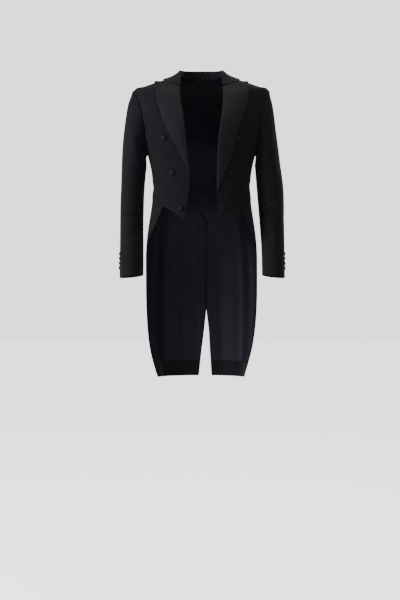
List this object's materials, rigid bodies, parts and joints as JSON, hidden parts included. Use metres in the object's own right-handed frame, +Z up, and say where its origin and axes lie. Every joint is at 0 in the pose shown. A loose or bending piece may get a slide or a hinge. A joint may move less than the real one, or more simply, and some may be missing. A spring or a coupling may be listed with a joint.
{
  "type": "evening tailcoat",
  "caption": "Evening tailcoat in its hollow worn form: cutaway front with peaked lapels and buttons, set-in sleeves with buttoned cuffs, and two long tails behind.",
  "frame": {"origin": "middle of the base of the neck, where the coat hangs from the wearer's shoulders", "axes": "+Z up, the coat's front faces -Y, the wearer's right is at -X"},
  "size_m": [0.5631, 0.2818, 1.0509],
  "materials": {
    "wool": "near-black fine wool, matt",
    "silk_facing": "black ribbed silk, low sheen",
    "lining": "blue-black satin lining",
    "button_cloth": "black cloth over a domed button"
  },
  "bodies": {
    "root": {"back_left": "wool", "back_lining_left": "lining", "back_lining_right": "lining", "back_right": "wool", "breast_welt": "wool", "collar": "wool", "cuff_button_left_1": "button_cloth", "cuff_button_left_2": "button_cloth", "cuff_button_left_3": "button_cloth", "cuff_button_left_4": "button_cloth", "cuff_button_right_1": "button_cloth", "cuff_button_right_2": "button_cloth", "cuff_button_right_3": "button_cloth", "cuff_button_right_4": "button_cloth", "front_button_left_1": "button_cloth", "front_button_left_2": "button_cloth", "front_button_left_3": "button_cloth", "front_button_right_1": "button_cloth", "front_button_right_2": "button_cloth", "front_button_right_3": "button_cloth", "front_left": "wool", "front_right": "wool", "lapel_left": "silk_facing", "lapel_right": "silk_facing", "side_body_left": "wool", "side_body_right": "wool", "side_lining_left": "lining", "side_lining_right": "lining", "tail_left": "wool", "tail_lining_left": "lining", "tail_lining_right": "lining", "tail_right": "wool", "top_sleeve_left": "wool", "top_sleeve_right": "wool", "under_sleeve_left": "wool", "under_sleeve_right": "wool", "waist_button_left": "button_cloth", "waist_button_right": "button_cloth"}
  },
  "joints": []
}
